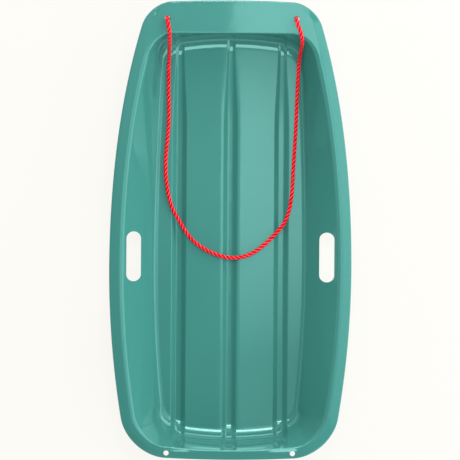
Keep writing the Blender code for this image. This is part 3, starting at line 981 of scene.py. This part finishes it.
class NodeBench:
    """Adds and wires nodes in one node tree."""

    def __init__(self, tree: NodeTree) -> None:
        """Work in a node tree."""
        self.tree = tree

    def fill(self, node: Node, **values: object) -> Node:
        """Set up a node.

        Args:
            node: The node.
            values: Its settings and its inputs, by name in lower case with underscores.
                An input takes a value, or a socket to wire it to.

        Returns:
            The same node.
        """
        sockets = {socket.name.lower().replace(" ", "_"): socket for socket in reversed(node.inputs)}
        for key, value in values.items():
            if key in sockets:
                self.feed(sockets[key], value)
            else:
                setattr(node, key, value)
        return node

    def add(self, kind: str, **values: object) -> Node:
        """Add a node of a kind, named without its ShaderNode prefix, and set it up."""
        return self.fill(self.tree.nodes.new("ShaderNode" + kind), **values)

    def feed(self, socket: Socket, value: object) -> None:
        """Give an input a value, or wire another socket to it.

        Args:
            socket: The input.
            value: The value, or the other socket.
        """
        if isinstance(value, Socket):
            self.tree.links.new(value, socket)
        else:
            socket.default_value = value

    def noise(self, where: Socket, scale: SocketOrValue, detail: float = 2.0) -> Socket:
        """A noise value at a place."""
        return self.add("TexNoise", vector=where, scale=scale, detail=detail).outputs["Fac"]

    def ranged(self, value: Socket, start: float, finish: float, **values: object) -> Socket:
        """A value between a start and a finish, brought to the range from 0 to 1 or to another."""
        return self.add("MapRange", value=value, from_min=start, from_max=finish, **values).outputs["Result"]

    def total(self, first: Socket, second: SocketOrValue, operation: str = "ADD") -> Socket:
        """Two values added, or joined by another operation.

        Args:
            first: The first value.
            second: The second value.
            operation: What joins them.

        Returns:
            The result.
        """
        node = self.add("Math", operation=operation, value=first)
        self.feed(node.inputs[1], second)
        return node.outputs["Value"]

    def shade(self, share: Socket, shaders: Sequence[Node], output: str) -> None:
        """Put out the first of two shaders, with a share of the second.

        Args:
            share: The second shader's share.
            shaders: The two shaders.
            output: The output node's kind.
        """
        mix = self.add("MixShader", fac=share)
        for shader, socket in zip(shaders, mix.inputs[1:]):
            self.feed(socket, shader.outputs[0])
        self.add(output, surface=mix.outputs["Shader"])


def bench_in(owner: Material | Light | World) -> NodeBench:
    """Empty an owner's node tree and work in it.

    Args:
        owner: The material, light or world.

    Returns:
        A bench in that tree.
    """
    owner.use_nodes = True
    owner.node_tree.nodes.clear()
    return NodeBench(owner.node_tree)


def node_group(
    name: str, vector: str, values: Sequence[str], results: Sequence[str]
) -> tuple[NodeBench, bpy.types.bpy_prop_collection, Node]:
    """Start a group of shader nodes.

    Args:
        name: The group's name.
        vector: The input that takes a vector.
        values: The inputs that take a value.
        results: The values that the group puts out.

    Returns:
        A bench in the group's tree, the sockets of its inputs and the node of its outputs.
    """
    group = bpy.data.node_groups.new(name, "ShaderNodeTree")
    group.interface.new_socket(vector, in_out="INPUT", socket_type="NodeSocketVector")
    for direction, names in (("INPUT", values), ("OUTPUT", results)):
        for socket in names:
            group.interface.new_socket(socket, in_out=direction, socket_type="NodeSocketFloat")
    return NodeBench(group), group.nodes.new("NodeGroupInput").outputs, group.nodes.new("NodeGroupOutput")


def moulded_skin() -> NodeTree:
    """Node group for the skin of moulded sheet: tint, gloss and waves.

    Returns:
        A group that takes a place, two roughness levels and two heights, and gives a
        tint mask, a roughness and a height.
    """
    levels, heights = ("Smooth Roughness", "Dull Roughness"), ("Wave Height", "Grain Height")
    bench, given, result = node_group("moulded_skin", "Place", levels + heights, ("Tint", "Roughness", "Height"))
    place = given["Place"]
    flow = bench.add("Mapping", vector=place, scale=(1.0, 0.35, 1.0)).outputs["Vector"]
    smudge = bench.total(bench.noise(place, 26.0, 4.0), bench.noise(place, 420.0), "MULTIPLY")
    smooth_level, dull_level = (given[level] for level in levels)
    wave, grain = (
        bench.total(bench.noise(place, scale, 1.0), given[height], "MULTIPLY")
        for scale, height in zip((21.0, 650.0), heights)
    )
    bench.fill(
        result,
        tint=bench.ranged(bench.noise(flow, 7.0, 3.0), 0.3, 0.7),
        roughness=bench.ranged(smudge, 0.10, 0.42, to_min=smooth_level, to_max=dull_level),
        height=bench.total(wave, grain),
    )
    return bench.tree


def laid_fibres() -> NodeTree:
    """Node group for a rope's fine fibres, with a painted highlight and painted shade on its strands.

    Returns:
        A group that takes a strand's coordinates, the fibres' fineness and their twist
        per metre, and gives a light mask (fibres at random and a painted highlight on
        each strand's crown), a dark mask (fibres at random and painted shade in the
        grooves between strands) and a height.
    """
    bench, given, result = node_group("laid_fibres", "Strand", ("Fineness", "Twist"), ("Light", "Dark", "Height"))
    parts = bench.add("SeparateXYZ", vector=given["Strand"]).outputs
    twisted = bench.total(parts["X"], bench.total(parts["Y"], given["Twist"], "MULTIPLY"))
    angle, crown_angle = (bench.total(turn, tau, "MULTIPLY") for turn in (twisted, parts["X"]))
    across, up, crown = (
        bench.add("Math", operation=operation, value=value).outputs["Value"]
        for operation, value in (("COSINE", angle), ("SINE", angle), ("COSINE", crown_angle))
    )
    ring = bench.add("CombineXYZ", x=across, y=up, z=bench.total(parts["Y"], 9.0, "MULTIPLY"))
    fibre = bench.noise(ring.outputs["Vector"], given["Fineness"], 3.0)
    # Each mask joins fibres at random with painted light: the light mask paints a highlight on each strand's crown, the
    # dark mask paints shade in the grooves between strands
    light, dark = (
        bench.total(bench.ranged(fibre, *fine), bench.ranged(crown, *painted_light_range, interpolation_type="SMOOTHSTEP"), "MAXIMUM")
        for fine, painted_light_range in (((0.60, 0.76), (0.86, 1.0)), ((0.48, 0.34), (0.72, 0.0)))
    )
    bench.fill(result, light=light, dark=dark, height=fibre)
    return bench.tree


@dataclass(frozen=True)
class TubPlastic:
    """Glossy moulded polyethylene in teal."""

    colour: Triple = (0.050, 0.228, 0.199)
    deeper: Triple = (0.046, 0.218, 0.190)
    gloss_tint: Triple = (0.50, 1.0, 0.93)
    refraction: float = 1.65
    smooth_roughness: float = 0.045
    dull_roughness: float = 0.075
    wave: float = 0.00012
    grain: float = 0.000004

    def material(self) -> Material:
        """Build the material.

        Returns:
            The material.
        """
        finish = bpy.data.materials.new("teal_plastic")
        finish.use_nodes = True
        bench = NodeBench(finish.node_tree)
        skin = bench.fill(
            bench.add("Group", node_tree=moulded_skin()),
            place=bench.add("TexCoord").outputs["Object"],
            smooth_roughness=self.smooth_roughness,
            dull_roughness=self.dull_roughness,
            wave_height=self.wave,
            grain_height=self.grain,
        ).outputs
        tint = bench.add("MixRGB", fac=skin["Tint"], color1=(*self.deeper, 1.0), color2=(*self.colour, 1.0))
        bump = bench.add("Bump", strength=1.0, distance=1.0, height=skin["Height"])
        bench.fill(
            finish.node_tree.nodes["Principled BSDF"],
            base_color=tint.outputs["Color"],
            roughness=skin["Roughness"],
            ior=self.refraction,
            specular_tint=(*self.gloss_tint, 1.0),
            normal=bump.outputs["Normal"],
        )
        return finish


@dataclass(frozen=True)
class RopeFibre:
    """Twisted polypropylene fibre in red, with a painted highlight on the strands' crowns and painted shade in their
    grooves.
    """

    colour: Triple = (0.95, 0.0, 0.009)
    # Pink of light fibres at random, and of the painted highlight on each strand's crown
    light: Triple = (1.0, 0.150, 0.190)
    # Deep red of dark fibres at random, and of the painted shade in the grooves between strands
    dark: Triple = (0.70, 0.0, 0.004)
    gloss_tint: Triple = (1.0, 0.16, 0.22)
    gloss: float = 0.06
    roughness: float = 0.20
    fineness: float = 4.5
    twist: float = 32.0

    def material(self) -> Material:
        """Build the material.

        Returns:
            The material.
        """
        finish = bpy.data.materials.new("red_fibre")
        finish.use_nodes = True
        bench = NodeBench(finish.node_tree)
        fibres = bench.fill(
            bench.add("Group", node_tree=laid_fibres()),
            strand=bench.add("UVMap", uv_map="fibre").outputs["UV"],
            fineness=self.fineness,
            twist=self.twist,
        ).outputs
        # Fibre tone at random, plus a painted highlight on the strands' crowns and painted shade in their grooves
        fibres_and_painted_highlight = bench.add("MixRGB", fac=fibres["Light"], color1=(*self.colour, 1.0), color2=(*self.light, 1.0))
        fibres_and_painted_shade = bench.add("MixRGB", fac=fibres["Dark"], color1=fibres_and_painted_highlight.outputs["Color"], color2=(*self.dark, 1.0))
        bump = bench.add("Bump", strength=0.8, distance=0.0006, height=fibres["Height"])
        bench.fill(
            finish.node_tree.nodes["Principled BSDF"],
            base_color=fibres_and_painted_shade.outputs["Color"],
            roughness=self.roughness,
            specular_ior_level=self.gloss,
            specular_tint=(*self.gloss_tint, 1.0),
            normal=bump.outputs["Normal"],
        )
        return finish


@dataclass
class Studio:
    """Floor, lamps, background and camera."""

    camera_height: float = 7.0
    camera_left: float = 0.12
    roll: float = radians(0.38)
    aim: Pair = (-0.0019, 0.0019)
    view_width: float = 1.2227
    rim: float = 0.118
    card_height: float = 3.0
    panel_reach: float = 4.0
    panel_size: Pair = (3.2, 1.4)
    panel_heights: Pair = (2.2, 0.78)
    panel_target: Triple = (0.0, 0.0, 0.1)
    surround: float = 0.08
    floor_white: float = 0.9

    def place_camera(self) -> None:
        """A camera high above the sled, a little to its left, looking down."""
        data = bpy.data.cameras.new("camera")
        data.sensor_width = 36.0
        data.lens = data.sensor_width * self.camera_height / self.view_width
        data.clip_end = 60.0
        camera = add_object("camera", data)
        target = Vector((*self.aim, self.rim))
        place = target + Vector((-self.camera_left, 0.0, self.camera_height))
        back = (place - target).normalized()
        right = Vector((0.0, 1.0, 0.0)).cross(back).normalized()
        turn = Matrix((right, back.cross(right), back)).transposed()
        camera.matrix_world = Matrix.Translation(place) @ (turn @ Matrix.Rotation(self.roll, 3, "Z")).to_4x4()
        bpy.context.scene.camera = camera

    def panel(self, name: str, centre: Triple, target: Triple, size: Pair, radiance: float) -> Light:
        """A soft rectangular lamp.

        Args:
            name: The lamp's name.
            centre: Where its middle is.
            target: The point that it faces.
            size: Its width and height.
            radiance: How bright it looks, where 1 is a white surface in plain light.

        Returns:
            The lamp's light.
        """
        light = bpy.data.lights.new(name, "AREA")
        light.shape = "RECTANGLE"
        light.size, light.size_y = size
        light.energy = radiance * pi * size[0] * size[1]
        lamp = add_object(name, light)
        lamp.location = centre
        lamp.rotation_euler = (Vector(target) - Vector(centre)).to_track_quat("-Z", "Y").to_euler()
        return light

    def card(self, name: str, across: Pair, ahead: Pair, radiance: float, front_radiance: float | None = None) -> None:
        """A soft lamp that hangs level above the sled.

        Args:
            name: The lamp's name.
            across: Its left and right edges.
            ahead: Its rear and front edges.
            radiance: How bright it looks, at its rear edge if it isn't even.
            front_radiance: How bright it looks at its front edge, if that differs.
        """
        centre = (sum(across) / 2, sum(ahead) / 2, self.card_height)
        size = (across[1] - across[0], ahead[1] - ahead[0])
        light = self.panel(name, centre, (*centre[:2], 0.0), size, radiance)
        if front_radiance is None:
            return
        bench = bench_in(light)
        split = bench.add("SeparateXYZ", vector=bench.add("NewGeometry").outputs["Parametric"])
        grade = bench.ranged(split.outputs["Y"], 0.0, 1.0, to_min=1.0, to_max=front_radiance / radiance)
        bench.add("OutputLight", surface=bench.add("Emission", strength=grade).outputs["Emission"])

    def light(self) -> None:
        """Level cards above the sled, panels round it, and a dim surround that looks white."""
        for name, *places in LEVEL_CARDS:
            self.card(f"{name}_card", *places)
        for azimuth, high, low in SIDE_PANELS:
            turn = radians(azimuth)
            for name, height, radiance in zip(("high", "low"), self.panel_heights, (high, low)):
                if radiance > 0:
                    centre = (self.panel_reach * cos(turn), self.panel_reach * sin(turn), height)
                    self.panel(f"{name}_card_{azimuth}", centre, self.panel_target, self.panel_size, radiance)
        world = bpy.data.worlds.new("studio")
        bpy.context.scene.world = world
        bench = bench_in(world)
        glows = (self.surround, 1.0)
        surrounds = [bench.add("Background", color=(1.0, 1.0, 1.0, 1.0), strength=glow) for glow in glows]
        bench.shade(bench.add("LightPath").outputs["Is Camera Ray"], surrounds, "OutputWorld")

    def floor(self) -> None:
        """A plain pale floor, which looks nearly white from the camera."""
        bpy.ops.mesh.primitive_plane_add(size=16.0, location=(0.0, 0.0, -0.0002))
        floor = bpy.context.object
        floor.name = "studio_floor"
        finish = bpy.data.materials.new("pale_floor")
        bench = bench_in(finish)
        matt = bench.add("BsdfDiffuse", color=(0.72, 0.72, 0.71, 1.0))
        white = bench.add("Emission", color=(0.99, 0.98, 0.94, 1.0))
        share = bench.total(bench.add("LightPath").outputs["Is Camera Ray"], self.floor_white, "MULTIPLY")
        bench.shade(share, (matt, white), "OutputMaterial")
        floor.data.materials.append(finish)

    def build(self) -> None:
        """Set up the whole studio."""
        self.place_camera()
        self.light()
        self.floor()
        bpy.context.scene.view_settings.view_transform = "Standard"


def main() -> None:
    """Build the studio, the rope and the tub."""
    logging.basicConfig(level=logging.INFO, format="%(name)s: %(message)s")
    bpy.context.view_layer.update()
    Studio().build()
    fibre = RopeFibre().material()
    for piece in TowRope().build():
        piece.data.materials.append(fibre)
    tub = Tub().build()
    tub.data.materials.append(TubPlastic().material())
    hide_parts("shell")
    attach(tub, "root")
    LOG.info("moulded tub: %d faces", len(tub.data.polygons))


if __name__ == "__main__":
    main()
